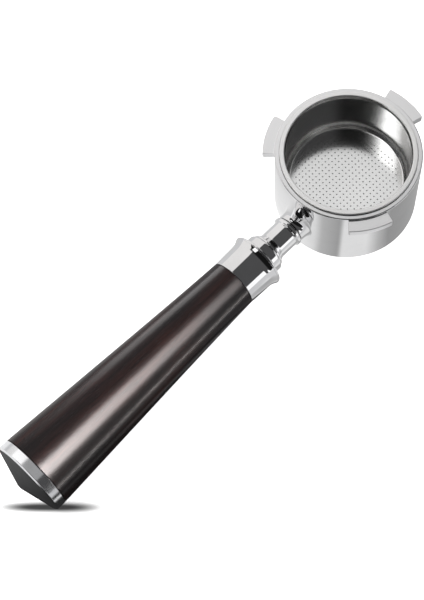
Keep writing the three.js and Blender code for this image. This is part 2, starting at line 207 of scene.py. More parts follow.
# ------------------------------------------------------------------ shader building
class Socket:
    """An output socket that takes part in sums: each operation adds a Math node."""

    def __init__(self, surface, link):
        self.surface = surface
        self.link = link

    def maths(self, operation, *values):
        """A Math node on these values."""
        return self.surface.add("ShaderNodeMath", {"operation": operation}, dict(enumerate(values)))

    def __add__(self, other):
        return self.maths("ADD", self, other)

    def __radd__(self, other):
        return self.maths("ADD", other, self)

    def __sub__(self, other):
        return self.maths("SUBTRACT", self, other)

    def __rsub__(self, other):
        return self.maths("SUBTRACT", other, self)

    def __mul__(self, other):
        return self.maths("MULTIPLY", self, other)

    def __rmul__(self, other):
        return self.maths("MULTIPLY", other, self)

    def __truediv__(self, other):
        return self.maths("DIVIDE", self, other)

    def __pow__(self, other):
        return self.maths("POWER", self, other)

    def sqrt(self):
        return self.maths("SQRT", self)

    def rises(self, start, end):
        """0 below start, 1 above end, and a smooth step between them. Start may be above end."""
        sockets = {"Value": self, "From Min": start, "From Max": end}
        return self.surface.add("ShaderNodeMapRange", {"interpolation_type": "SMOOTHSTEP"}, sockets)

    def spread(self, low, high):
        """A 0 to 1 value laid over low to high."""
        return self.surface.add("ShaderNodeMapRange", {}, {"Value": self, "To Min": low, "To Max": high})


class Surface:
    """A node tree being built, for a material or for the world."""

    def __init__(self, owner):
        owner.use_nodes = True
        self.owner = owner
        self.tree = owner.node_tree
        self.tree.nodes.clear()

    def add(self, kind, settings=None, sockets=None, output=0):
        """One node: its settings first, then the values or links of its sockets. Gives one of its outputs."""
        node = self.tree.nodes.new(kind)
        for key, value in (settings or {}).items():
            if key == "stops":
                while len(node.color_ramp.elements) < len(value):
                    node.color_ramp.elements.new(0.5)
                for stop, (place, tone) in zip(node.color_ramp.elements, value):
                    stop.position, stop.color = place, tone
            else:
                setattr(node, key, value)
        for key, value in (sockets or {}).items():
            if isinstance(value, Socket):
                self.tree.links.new(value.link, node.inputs[key])
            else:
                node.inputs[key].default_value = value
        return Socket(self, node.outputs[output]) if node.outputs else None

    def position(self, scale=(1, 1, 1), centre=(0, 0, 0)):
        """Object coordinates, measured from centre and then scaled."""
        place = self.add("ShaderNodeTexCoord", output="Object")
        moved = self.add("ShaderNodeVectorMath", {"operation": "SUBTRACT"}, {0: place, 1: centre})
        return self.add("ShaderNodeVectorMath", {"operation": "MULTIPLY"}, {0: moved, 1: scale})

    def parts(self, vector):
        """The three components of a vector."""
        node = self.add("ShaderNodeSeparateXYZ", None, {0: vector}).link.node
        return [Socket(self, node.outputs[i]) for i in range(3)]

    def vector(self, x, y, z):
        """A vector from three components."""
        return self.add("ShaderNodeCombineXYZ", None, {0: x, 1: y, 2: z})

    def noise(self, vector, scale, detail=3.0, roughness=0.5, distortion=0.0):
        """Fractal noise from 0 to 1, about one grain per 1/scale metres."""
        sockets = {"Vector": vector, "Scale": scale, "Detail": detail}
        sockets.update({"Roughness": roughness, "Distortion": distortion})
        return self.add("ShaderNodeTexNoise", None, sockets)

    def mix(self, factor, first, second):
        """First and second colour mixed by factor."""
        sockets = {0: factor, 6: as_colour(first), 7: as_colour(second)}
        return self.add("ShaderNodeMix", {"data_type": "RGBA"}, sockets, output=2)

    def ramp(self, factor, stops):
        """A grey ramp through stops, given as (place, brightness)."""
        return self.add("ShaderNodeValToRGB", {"stops": [(p, (v, v, v, 1)) for p, v in stops]}, {0: factor})

    def bump(self, height, distance, strength):
        """A normal leant by a height from 0 to 1 that stands for distance."""
        return self.add("ShaderNodeBump", None, {"Height": height, "Distance": distance, "Strength": strength})

    def finish(self, **sockets):
        """The surface itself: a Principled shader with these sockets."""
        named = {key.replace("_", " "): value for key, value in sockets.items()}
        shader = self.add("ShaderNodeBsdfPrincipled", None, named)
        self.add("ShaderNodeOutputMaterial", None, {"Surface": shader})
        return self.owner


def as_colour(value):
    """A colour socket's value: three numbers get their alpha."""
    return value if isinstance(value, Socket) else (*value, 1.0)


def tinted(base, amount):
    """A colour made lighter or darker."""
    return tuple(min(1.0, c * amount) for c in base)


def grey(value):
    """A colour with equal parts."""
    return (value, value, value)


def new_surface(name):
    """A material whose node tree is still empty."""
    return Surface(bpy.data.materials.new(name))


def chrome_finish(name, base):
    """Mirror plating: the faint waviness and hairlines that a buffing wheel leaves, under smears that show as a
    change of roughness."""
    s = new_surface(name)
    place = s.position()
    wave = s.noise(place, 90, 2)
    hair = s.noise(place, 2600, 3, 0.7)
    smear = s.noise(place, 55, 4, 0.6)
    normal = s.bump(wave + hair * 0.02, 0.012 * MM, 0.35)
    tone = s.mix(smear.rises(0.35, 0.7), tinted(base, 1.02), tinted(base, 0.95))
    roughness = smear.rises(0.4, 0.72).spread(0.035, 0.075)
    return s.finish(Base_Color=tone, Metallic=1.0, Roughness=roughness, Normal=normal)


def cup_finish(name, base, satin, wall_radius):
    """Polished wall and boss, with a fine-turned satin face on the top ring and on the lugs."""
    s = new_surface(name)
    place = s.position()
    x, y, z = s.parts(place)
    reach = (x * x + y * y).sqrt()
    turned_part = z.rises(-0.12 * MM, -0.03 * MM)
    ahead_of_boss = x.rises(-27.5 * MM, -26 * MM)
    lug_part = reach.rises(wall_radius + 0.05 * MM, wall_radius + 0.35 * MM) * ahead_of_boss
    dull = turned_part.maths("MAXIMUM", turned_part, lug_part)
    rings = s.noise(s.vector(reach, z, 0.0), 9000, 2)
    grit = s.noise(place, 5200, 3, 0.65)
    smear = s.noise(place, 60, 4, 0.6)
    rough_polished = smear.rises(0.35, 0.75).spread(0.03, 0.06)
    rough_satin = grit.spread(satin - 0.05, satin + 0.06)
    roughness = rough_polished * (1 - dull) + rough_satin * dull
    height = (rings * 0.6 + grit * 0.4) * dull + smear * 0.05
    tone = s.mix(dull, s.mix(smear.rises(0.3, 0.7), base, tinted(base, 0.95)), tinted(base, 0.93))
    normal = s.bump(height, 0.006 * MM, 0.5)
    return s.finish(Base_Color=tone, Metallic=1.0, Roughness=roughness, Normal=normal)


def basket_finish(name, base, floor_height, ledge_height):
    """Drawn sheet: walls with faint upright draw marks, their colour darkened as painted shade, a duller rim and
    ledge, their colour lightened as a painted highlight, and a polished floor with a fine grain."""
    s = new_surface(name)
    place = s.position()
    x, y, z = s.parts(place)
    turn = y.maths("ARCTAN2", y, x)
    draw = s.noise(s.vector(turn * 60.0, z * 40.0, 0.0), 4, 3, 0.6)
    grit = s.noise(place, 4300, 3, 0.7)
    cloud = s.noise(place, 130, 3)
    floor_part = z.rises(floor_height + 0.5 * MM, floor_height + 0.15 * MM)
    ledge_part = z.rises(ledge_height - 0.6 * MM, ledge_height - 0.3 * MM)
    ledge_part = ledge_part * z.rises(ledge_height + 0.5 * MM, ledge_height + 0.2 * MM)
    wall_rough = draw.spread(0.19, 0.23) + ledge_part * 0.16
    rim_part = z.rises(0.1 * MM, 0.55 * MM)
    floor_rough = grit.spread(0.12, 0.17)
    roughness = (wall_rough + rim_part * 0.2) * (1 - floor_part) + floor_rough * floor_part
    height = grit * floor_part + draw * 0.03 * (1 - floor_part)
    # Painted shade: the walls' colour is darkened to 0.74 to 0.8 of the steel, under a random cloud
    tone = s.mix(cloud.rises(0.3, 0.7), tinted(base, 0.8), tinted(base, 0.74))
    # Painted highlight: the rim and the ledge are lightened to 1.12 of the steel; the floor keeps the steel's own
    # colour
    tone = s.mix(rim_part.maths("MAXIMUM", rim_part, ledge_part), tone, tinted(base, 1.12))
    tone = s.mix(floor_part, tone, base)
    normal = s.bump(height, 0.008 * MM, 0.5)
    return s.finish(Base_Color=tone, Metallic=1.0, Roughness=roughness, Normal=normal)


def turned_metal(name, base, low, high, mark, depth=0.01 * MM, centre=(0, 0, 0)):
    """Metal from the lathe: fine rings round the X axis through centre, under a grain of small pits. Low and high
    are the least and the most roughness, and mark is how many rings stand in a metre."""
    s = new_surface(name)
    place = s.position(centre=centre)
    x, y, z = s.parts(place)
    reach = (y * y + z * z).sqrt()
    rings = s.noise(s.vector(x, reach, 0.0), mark, 3, 0.6)
    grain = s.noise(place, 1800, 2)
    cloud = s.noise(place, 120, 3)
    tone = s.mix(cloud.rises(0.3, 0.7), tinted(base, 1.03), tinted(base, 0.93))
    roughness = (rings * 0.6 + cloud * 0.4).spread(low, high)
    normal = s.bump(rings * 0.8 + grain * 0.2, depth, 0.5)
    return s.finish(Base_Color=tone, Metallic=1.0, Roughness=roughness, Normal=normal)


def wood_finish(name, dark, red, centre):
    """Dense dark wood under a satin lacquer: long streaks, short pores and a slow change of tone."""
    s = new_surface(name)
    lengthwise = s.position((0.055, 1, 1), centre)
    drift = s.position((0.16, 1, 1), centre)
    streaks = s.noise(lengthwise, 900, 5, 0.62, 0.4)
    broad = s.noise(drift, 95, 3, 0.5, 0.8)
    pore = s.noise(s.position((0.09, 1, 1)), 2600, 2).rises(0.6, 0.72)
    body = s.mix(broad.rises(0.32, 0.72), dark, red)
    body = s.mix(streaks.rises(0.35, 0.7) * 0.75, body, tinted(dark, 0.62))
    body = s.mix(pore * 0.55, body, tinted(dark, 0.35))
    roughness = streaks.spread(0.2, 0.3) + pore * 0.06
    normal = s.bump(streaks * 0.7 - pore * 0.5, 0.03 * MM, 0.2)
    return s.finish(Base_Color=body, Roughness=roughness, Normal=normal, Specular_IOR_Level=0.12)


def rubber_finish(name, base):
    """Matt moulded rubber with a soft bloom."""
    s = new_surface(name)
    place = s.position()
    grain = s.noise(place, 3000, 3, 0.6)
    bloom = s.noise(place, 260, 3)
    tone = s.mix(bloom.rises(0.35, 0.75), base, tinted(base, 1.9))
    normal = s.bump(grain, 0.02 * MM, 0.5)
    return s.finish(Base_Color=tone, Roughness=grain.spread(0.5, 0.72), Normal=normal)


def fibre_finish(name, base):
    """Pressed red fibre sheet: short felted strands."""
    s = new_surface(name)
    strands = s.noise(s.position((1, 0.4, 1)), 2200, 4, 0.7, 1.5)
    tone = s.mix(strands.rises(0.3, 0.7), tinted(base, 0.7), tinted(base, 1.2))
    normal = s.bump(strands, 0.03 * MM, 0.6)
    return s.finish(Base_Color=tone, Roughness=strands.spread(0.65, 0.9), Normal=normal)


# ------------------------------------------------------------------ mesh building
def rounded(corners):
    """A line through corner points (radius, place, rounding). Each rounding is an arc that touches both sides."""
    corners = [(*c, 0.0)[:3] for c in corners]
    points = []
    for i, (r, h, size) in enumerate(corners):
        here = np.array([r, h])
        if size <= 0 or i in (0, len(corners) - 1):
            points.append(here)
            continue
        before = np.array(corners[i - 1][:2]) - here
        after = np.array(corners[i + 1][:2]) - here
        before, after = before / np.linalg.norm(before), after / np.linalg.norm(after)
        opening = math.acos(np.clip(before @ after, -1, 1))
        middle = here + (before + after) / np.linalg.norm(before + after) * size / math.sin(opening / 2)
        start = here + before * size / math.tan(opening / 2) - middle
        end = here + after * size / math.tan(opening / 2) - middle
        first, turn = math.atan2(start[1], start[0]), math.pi - opening
        turn = math.copysign(turn, start[0] * end[1] - start[1] * end[0])
        arc = first + turn * np.linspace(0, 1, max(3, math.ceil(abs(turn) / ARC_STEP)) + 1)
        points.extend(middle + size * np.stack([np.cos(arc), np.sin(arc)], 1))
    return np.array(points)


def grid_faces(columns, rows, close_columns=True, close_rows=True):
    """Four-cornered faces of a grid whose vertex number is column * rows + row."""
    c = np.arange(columns if close_columns else columns - 1)
    k = np.arange(rows if close_rows else rows - 1)
    c, k = np.meshgrid(c, k, indexing="ij")
    right, up = (c + 1) % columns, (k + 1) % rows
    corners = [c * rows + k, right * rows + k, right * rows + up, c * rows + up]
    return np.stack(corners, -1)


def turned_about_handle(section, sides):
    """A closed section of (radius, distance) points turned about the handle's axis."""
    turn = np.linspace(0, 2 * math.pi, sides, endpoint=False)[:, None]
    r, h = section[:, 0][None], section[:, 1][None]
    points = np.stack([-h + 0 * turn, r * np.cos(turn), HANDLE_Z + r * np.sin(turn)], -1)
    return points.reshape(-1, 3), grid_faces(sides, len(section)).reshape(-1, 4)


def turned_about_cup(section, sides):
    """An open section of (radius, height) points turned about the cup's axis."""
    turn = np.linspace(0, 2 * math.pi, sides, endpoint=False)[:, None]
    r, h = section[:, 0][None], section[:, 1][None]
    points = np.stack([r * np.cos(turn), r * np.sin(turn), h + 0 * turn], -1)
    return points.reshape(-1, 3), grid_faces(sides, len(section), close_rows=False).reshape(-1, 4)


def joined(*shapes):
    """Several (points, faces) as one, with the faces renumbered."""
    points, faces, start = [], [], 0
    for p, f in shapes:
        points.append(p)
        faces.extend((np.asarray(f) + start).tolist())
        start += len(p)
    return np.concatenate(points), faces


def new_piece(name, points, faces, material, body, slot, nodes):
    """Puts a surface into a mesh, welds its seams and poles, turns it outwards, and rides it on its body."""
    mesh = bpy.data.meshes.new(name)
    mesh.from_pydata(points.tolist(), [], [list(f) for f in faces])
    work = bmesh.new()
    work.from_mesh(mesh)
    bmesh.ops.remove_doubles(work, verts=work.verts, dist=0.002 * MM)
    bmesh.ops.dissolve_degenerate(work, edges=work.edges, dist=0.0005 * MM)
    if work.calc_volume(signed=True) < 0:
        bmesh.ops.reverse_faces(work, faces=work.faces)
    work.to_mesh(mesh)
    work.free()
    mesh.polygons.foreach_set("use_smooth", np.ones(len(mesh.polygons), bool))
    mesh.set_sharp_from_angle(angle=SHARP)
    mesh.materials.append(material)
    mesh.update()
    obj = bpy.data.objects.new(name, mesh)
    bpy.context.scene.collection.objects.link(obj)
    flats = obj.modifiers.new("even_flats", "WEIGHTED_NORMAL")
    flats.mode, flats.weight, flats.keep_sharp = "FACE_AREA", 50, True
    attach(obj, body)
    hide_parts(*nodes)
    return obj


def repaint(node, material):
    """A frame node keeps its shape and gets a better material."""
    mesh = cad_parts[node].data
    mesh.materials.clear()
    mesh.materials.append(material)


# ------------------------------------------------------------------ cup
def lug_columns(s):
    """Columns round the cup as (angle, share of the lug's reach): three lugs with rounded ends and plain wall
    between them."""
    corner = 0.6 * MM
    turn = corner / (s.radius + s.lug_reach)
    sweep = np.linspace(0, math.pi / 2, 5)
    end_angle = s.lug_half - turn + turn * np.cos(sweep)
    end_share = (s.lug_reach - corner + corner * np.sin(sweep)) / s.lug_reach
    arc = np.linspace(s.lug_half - turn, turn - s.lug_half, 19)[1:-1]
    one_angle = np.concatenate([[-s.lug_half], -end_angle, -arc, end_angle[::-1], [s.lug_half]])
    one_share = np.concatenate([[0], end_share, np.ones(len(arc)), end_share[::-1], [0]])
    spacing = 2 * math.pi / 3
    gap = np.linspace(s.lug_half, spacing - s.lug_half, 58)[1:-1]
    places = np.concatenate([one_angle, gap])
    shares = np.concatenate([one_share, 0 * gap])
    angles = [s.lug_first + i * spacing + places for i in range(3)]
    return np.concatenate(angles), np.tile(shares, 3)


def cup_rows(s):
    """Rows of the cup's closed section as (radius, height, share of the lug's reach), and the first and last row
    of the boss's window."""
    low, top = CUP_LOW.z, 0.0
    sweep = np.linspace(0, math.pi / 2, 6)
    foot = s.radius - s.foot_round
    rows = [(s.bore + 0.5 * MM, low, 0)]
    round_foot = s.foot_round
    rows += [(foot + round_foot * math.sin(t), low + round_foot * (1 - math.cos(t)), 0) for t in sweep]
    lug_low, lug_top = top - s.lug_drop - s.lug_thickness, top - s.lug_drop
    window_low = HANDLE_Z - s.boss_down - 0.9 * MM
    rows += [(s.radius, h, 0) for h in np.linspace(low + s.foot_round, window_low, 6)[1:]]
    first = len(rows) - 1
    rows += [(s.radius, h, 0) for h in np.linspace(window_low, lug_low, 24)[1:]]
    soft = 0.3 * MM
    edge = [(1 - soft / s.lug_reach * (1 - math.sin(t)), soft * (1 - math.cos(t))) for t in sweep]
    rows += [(s.radius, lug_low + rise, reach) for reach, rise in edge]
    rows += [(s.radius, lug_top - rise, reach) for reach, rise in edge[::-1]]
    rows += [(s.radius, lug_top, 0), (s.radius, top - s.top_round - 0.25 * MM, 0)]
    last = len(rows) - 1
    rim = s.radius - s.top_round
    rows += [(rim + s.top_round * math.cos(t), top - s.top_round * (1 - math.sin(t)), 0) for t in sweep]
    groove, half, depth = (SPRING_LOW.z + SPRING_HIGH.z) / 2, 0.9 * MM, 0.96 * MM
    inside = rounded([
        (rim, top), (s.seat, top, 0.12 * MM), (s.seat, top - s.seat_depth),
        (s.bore, top - s.seat_depth, 0.15 * MM), (s.bore, groove + half),
        (s.bore + depth, groove + half * 0.7, 0.2 * MM), (s.bore + depth, groove - half * 0.7, 0.2 * MM),
        (s.bore, groove - half), (s.bore, low + 0.5 * MM),
    ])[1:]
    rows += [(r, h, 0) for r, h in inside]
    return np.array(rows), first, last


def boss_rings(s, edge):
    """Rings from the window's edge in to the threaded hole. On the wall they close in on the boss's foot: half an
    oval below, and above it a web that narrows up to the top ring, its corners rounded as a superellipse. Then they
    climb a quarter oval, flat on the wall and square to it at the end."""
    y, z = edge[:, 1], edge[:, 2] - HANDLE_Z
    turn, start = np.arctan2(z, y), np.hypot(y, z)
    above = z > 0
    power, tall = np.where(above, 6.0, 2.2), np.where(above, s.boss_up, s.boss_down)
    lean = np.where(above, (s.boss_side - s.boss_top) / s.boss_up, 0.0)
    side = (np.abs(np.cos(turn)) + lean * np.sin(turn)) / s.boss_side
    foot = (side**power + np.abs(np.sin(turn) / tall) ** power) ** (-1 / power)
    end, lip, hole = -CUP_LOW.x, 0.3 * MM, 5 * MM

    def ring(reach, depth=0.0, blend=0.0):
        """One ring, on the wall at blend 0 and in the flat plane at depth at blend 1."""
        across_wall = reach * np.cos(turn)
        wall = np.sqrt(s.radius**2 - np.minimum(across_wall, s.radius) ** 2)
        out = wall * (1 - blend) + depth * blend
        return np.stack([-out, across_wall, HANDLE_Z + reach * np.sin(turn)], -1)

    rings = [edge]
    rings += [ring(start + (foot - start) * t) for t in np.linspace(0, 1, 6)[1:]]
    for t in np.linspace(0, math.pi / 2, 30)[1:]:
        reach = s.boss_radius + (foot - s.boss_radius) * (1 - math.sin(t))
        rings.append(ring(reach, end - lip, 1 - math.cos(t)))
    for t in np.linspace(0, math.pi / 2, 5)[1:]:
        rings.append(ring(s.boss_radius - lip * (1 - math.cos(t)), end - lip * (1 - math.sin(t)), 1.0))
    blind, bevel = s.bore + 1.4 * MM, 0.35 * MM
    for reach, depth in ((hole + bevel, end), (hole, end - bevel), (hole, blind), (0.0, blind)):
        rings.append(ring(reach, depth, 1.0))
    return np.stack(rings, 1)


def cup_surface(s):
    """The cup as one closed surface: a section carried round the axis and pushed out at the lugs, with a window in
    its outer wall where a second grid of rings makes the boss."""
    turn, reach = lug_columns(s)
    rows, first, last = cup_rows(s)
    radius = rows[:, 0][None] + s.lug_reach * rows[:, 2][None] * reach[:, None]
    height = np.broadcast_to(rows[:, 1][None], radius.shape)
    points = np.stack([radius * np.cos(turn)[:, None], radius * np.sin(turn)[:, None], height], -1)
    faces = grid_faces(*radius.shape)
    near = np.flatnonzero(np.abs(turn - math.pi) < math.radians(21.5))
    left, right = near[0], near[-1]
    keep = np.ones(faces.shape[:2], bool)
    keep[left:right, first:last] = False
    wide, tall = right - left, last - first
    columns = np.concatenate([
        np.arange(left, right), np.full(tall, right), np.arange(right, left, -1), np.full(tall, left)
    ])
    levels = np.concatenate([
        np.full(wide, first), np.arange(first, last), np.full(wide, last), np.arange(last, first, -1)
    ])
    rings = boss_rings(s, points[columns, levels])
    boss_faces = grid_faces(*rings.shape[:2], close_rows=False)
    wall = (points.reshape(-1, 3), faces[keep].reshape(-1, 4))
    return joined(wall, (rings.reshape(-1, 3), boss_faces.reshape(-1, 4)))


class PORTAFILTER_OT_cup(bpy.types.Operator):
    """Builds the chromed cup body with its lugs and boss"""

    bl_idname = "portafilter.cup"
    bl_label = "Build cup body"

    def execute(self, context):
        s = context.scene.portafilter_cup
        material = cup_finish("cup chrome, polished and satin", tuple(s.chrome), s.satin, s.radius)
        points, faces = cup_surface(s)
        new_piece("cup_shell", points, faces, material, "cup", "cup_chrome", ["cup_body"])
        return {"FINISHED"}


# ------------------------------------------------------------------ basket
def basket_section(s):
    """The basket's wall from the edge of its inner floor, up, over the rolled rim and down to the outer floor."""
    outer = BASKET_HIGH.x
    inner = outer - s.rim_width
    top, under = BASKET_HIGH.z, BASKET_HIGH.z - 2.1 * MM
    upper = outer - 2.45 * MM
    lower, ledge = upper - s.ledge_width, -s.ledge_depth
    foot, below = lower - s.taper, ledge - s.ledge_width
    floor, flat, skin = BASKET_LOW.z + s.wall, foot - s.corner, s.wall
    return rounded([
        (flat, floor), (foot, floor, s.corner), (lower, below + 0.2 * MM, 0.3 * MM),
        (upper, ledge + 0.2 * MM, 0.6 * MM), (upper, under + 0.4 * MM, 1.2 * MM),
        (inner, top - 0.9 * MM, 1.0 * MM), (inner, top, 0.42 * MM), (outer, top, 0.35 * MM),
        (outer, under, 0.3 * MM), (upper + skin, under, 0.15 * MM), (upper + skin, ledge, 0.6 * MM),
        (lower + skin, below, 0.3 * MM), (foot + skin, BASKET_LOW.z, s.corner + skin), (flat, BASKET_LOW.z),
    ])


def perforated_floor(s, edge):
    """The floor as two dished discs joined by the walls of the holes. The holes stand on a square grid, the sheet
    between them is a triangulation of the edge circle and the holes' rims, and its sink is a squared cosine of the
    distance from the middle."""
    sides = 12  # of a hole
    flat = np.hypot(*edge[0, :2])
    count = int(flat / s.pitch) + 1
    lattice = np.stack(np.meshgrid(*[np.arange(-count, count + 1) * s.pitch] * 2), -1).reshape(-1, 2)
    lattice = lattice[np.hypot(lattice[:, 0], lattice[:, 1]) < s.field]
    turn = np.linspace(0, 2 * math.pi, sides, endpoint=False)
    rim = s.hole / 2 * np.stack([np.cos(turn), np.sin(turn)], -1)
    rims = (lattice[:, None] + rim[None]).reshape(-1, 2)
    flat_points = np.concatenate([edge[:, :2], rims])
    start = len(edge)
    numbers = start + np.arange(len(rims)).reshape(-1, sides)
    loop, onward = np.arange(start), np.roll(numbers, -1, 1)
    edges = np.concatenate([
        np.stack([loop, np.roll(loop, -1)], -1), np.stack([numbers, onward], -1).reshape(-1, 2)
    ])
    places = [Vector(p) for p in flat_points.tolist()]
    found = delaunay_2d_cdt(places, edges.tolist(), [], 0, 1e-9, True)
    origin = np.array([ids[0] for ids in found[3]])
    triangles = origin[np.array(found[2])]
    owner = np.where(triangles >= start, (triangles - start) // sides, -1)
    in_hole = (owner[:, 0] >= 0) & (owner[:, 0] == owner[:, 1]) & (owner[:, 1] == owner[:, 2])
    sheet = triangles[~in_hole]
    reach = np.hypot(flat_points[:, 0], flat_points[:, 1]) / flat
    sink = s.dish * np.cos(np.clip(reach, 0, 1) * math.pi / 2) ** 2
    upper = np.column_stack([flat_points, BASKET_LOW.z + s.wall - sink])
    lower = np.column_stack([flat_points, BASKET_LOW.z - sink])
    under = len(flat_points)
    walls = np.stack([numbers + under, onward + under, onward, numbers], -1).reshape(-1, 4)
    faces = sheet.tolist() + (sheet[:, ::-1] + under).tolist() + walls.tolist()
    return np.concatenate([upper, lower]), faces


class PORTAFILTER_OT_basket(bpy.types.Operator):
    """Builds the perforated basket and the wire spring that holds it"""

    bl_idname = "portafilter.basket"
    bl_label = "Build basket and spring"

    def execute(self, context):
        s = context.scene.portafilter_basket
        section = basket_section(s)
        wall_points, wall_faces = turned_about_cup(section, CUP_SIDES)
        edge = wall_points.reshape(CUP_SIDES, -1, 3)[:, 0]
        floor_points, floor_faces = perforated_floor(s, edge)
        start = len(wall_points)
        points = np.concatenate([wall_points, floor_points])
        faces = wall_faces.tolist() + [[i + start for i in f] for f in floor_faces]
        floor_height = BASKET_LOW.z + s.wall
        material = basket_finish("basket steel, drawn sheet", tuple(s.steel), floor_height, -s.ledge_depth)
        new_piece("basket_sheet", points, faces, material, "basket", "basket_steel", ["filter_basket"])
        wire = turned_metal("spring steel wire", tinted(s.steel, 0.82), 0.2, 0.34, 1500)
        new_piece("spring_wire", *self.spring(s), wire, "spring", "spring_steel", ["basket_spring"])
        return {"FINISHED"}

    def spring(self, s):
        """A round section carried along an open arc, closed by a half ball at each end."""
        centre, half, radius = SPRING_HIGH.x - s.wire / 2, s.spring_arc / 2, s.wire / 2
        ball = np.linspace(0, math.pi / 2, 6)
        along_arc = np.linspace(-half, half, 181)
        tip = radius * np.cos(ball) / centre
        place = np.concatenate([-half - tip, along_arc[1:-1], half + tip[::-1]])
        end = radius * np.sin(ball)
        size = np.concatenate([end, np.full(len(along_arc) - 2, radius), end[::-1]])
        round_turn = np.linspace(0, 2 * math.pi, 16, endpoint=False)
        reach = centre + size[:, None] * np.cos(round_turn)[None]
        height = (SPRING_LOW.z + SPRING_HIGH.z) / 2 + size[:, None] * np.sin(round_turn)[None]
        points = np.stack([reach * np.cos(place)[:, None], reach * np.sin(place)[:, None], height], -1)
        faces = grid_faces(*points.shape[:2], close_columns=False)
        return points.reshape(-1, 3), faces.reshape(-1, 4)


# ------------------------------------------------------------------ handle
def neck_section(s):
    """Sleeve: a bead at the boss, a plain stretch and a small flare at the collar, round a stepped hole."""
    a, b, hole, plain = NECK_START, NECK_END, s.rod_hole, s.neck_radius
    bead, seal = across("neck_sleeve"), s.rod_hole + 1.3 * MM
    return rounded([
        (seal, a), (bead, a, 0.75 * MM), (bead, a + 1.7 * MM, 0.6 * MM), (plain, a + 2.3 * MM, 0.5 * MM),
        (plain, b - 2.0 * MM, 2.0 * MM), (plain + 0.8 * MM, b, 0.12 * MM), (hole, b, 0.1 * MM),
        (hole, a + 1.3 * MM), (seal, a + 1.3 * MM), (seal, a),
    ])[:-1]


def collar_section(s):
    """Collar: a narrow step and then a fat ring with rounded shoulders."""
    a, b, hole, outer = COLLAR_START, COLLAR_END, s.rod_hole, across("neck_collar")
    step = outer - 0.95 * MM
    shoulder = a + 0.85 * MM
    return rounded([
        (hole, a), (step, a, 0.35 * MM), (step, shoulder, 0.15 * MM), (outer, shoulder, 1.15 * MM),
        (outer, b, 0.95 * MM), (hole, b, 0.1 * MM), (hole, a),
    ])[:-1]


def ferrule_section(s):
    """Bell: a rolled lip, a flare that falls to the waist as a power of the way left to it, and a straight skirt
    over the tenon."""
    a, b, hole = FERRULE_START, FERRULE_END, s.rod_hole
    lip, waist, rolled = across("bell_ferrule"), s.grip_front + s.waist, s.lip_round
    t = np.linspace(0, 1, 15)
    flared = waist + (lip - rolled * 0.35 - waist) * (1 - t) ** 2.6
    flare = np.stack([flared, a + 1.15 * MM + 4.6 * MM * t], 1)
    roll = np.radians(np.linspace(-84, 62, 12))
    front = np.stack([lip - rolled + rolled * np.cos(roll), a + rolled + rolled * np.sin(roll)], 1)
    skirt = TENON_RADIUS + GAP
    socket = TENON_START - 2 * GAP - 0.8 * MM
    back = rounded([
        tuple(flare[-1]), (s.grip_front, b, 0.15 * MM), (skirt, b, 0.1 * MM), (skirt, socket),
        (hole, socket), (hole, a, 0.2 * MM), (lip - rolled, a),
    ])
    return np.concatenate([front, flare, back[1:-1]])


def grip_section(s):
    """Grip: a straight taper less a half sine's hollow that is deepest nearer the front, a tenon and a rear
    pocket."""
    start = FERRULE_END + GAP
    rear, tenon = across("wood_grip"), TENON_RADIUS
    t = np.linspace(0, 1, 61)
    hollow = s.grip_hollow * np.sin(math.pi * t**0.6)
    taper = s.grip_front + (rear - s.grip_front) * t
    outside = np.stack([taper - hollow, start + (GRIP_END - start) * t], 1)
    bush = across("front_bush") + GAP
    front = rounded([
        (bush, TENON_START), (tenon, TENON_START, 0.4 * MM), (tenon, start), tuple(outside[0]),
    ])
    edge, soft = outside[[0, -1]], 0.18 * MM
    front_edge = [(edge[0, 0] - soft, edge[0, 1]), (edge[0, 0] - soft * 0.3, edge[0, 1] + soft * 0.3)]
    rear_edge = [(edge[1, 0] - soft * 0.3, edge[1, 1] - soft * 0.3), (edge[1, 0] - soft, edge[1, 1])]
    pocket = across("cap_o_ring") + 0.2 * MM
    floor = WASHER_START - GAP
    back = [
        (pocket, GRIP_END), (pocket, floor), (s.tail_hole, floor),
        (s.tail_hole, BUSH_END + GAP), (bush, BUSH_END + GAP),
    ]
    parts = [front[:-1], front_edge, outside[1:-1], rear_edge, back]
    return np.concatenate([np.array(p) for p in parts])


def cap_section(s):
    """End cap: a straight band, a soft edge, a shallow cone with a blunt point, and the spigot behind."""
    start = GRIP_END + GAP
    outer, band = across("end_cap"), GRIP_END + GAP + s.cap_band
    spigot = across("cap_o_ring") - 0.1 * MM
    groove = spigot - 1.1 * MM
    low, high = SEAL_START - 0.15 * MM, SEAL_END + 0.15 * MM
    return rounded([
        (s.tail_hole, SPIGOT_START), (spigot, SPIGOT_START, 0.2 * MM), (spigot, low), (groove, low),
        (groove, high), (spigot, high), (spigot, start), (outer, start, 0.12 * MM),
        (outer, band, 0.25 * MM), (outer - 0.75 * MM, band + 0.6 * MM, 0.5 * MM),
        (1.2 * MM, CAP_END - 0.12 * MM, 1.0 * MM), (0.0, CAP_END), (0.0, start), (s.tail_hole, start),
        (s.tail_hole, SPIGOT_START),
    ])[:-1]


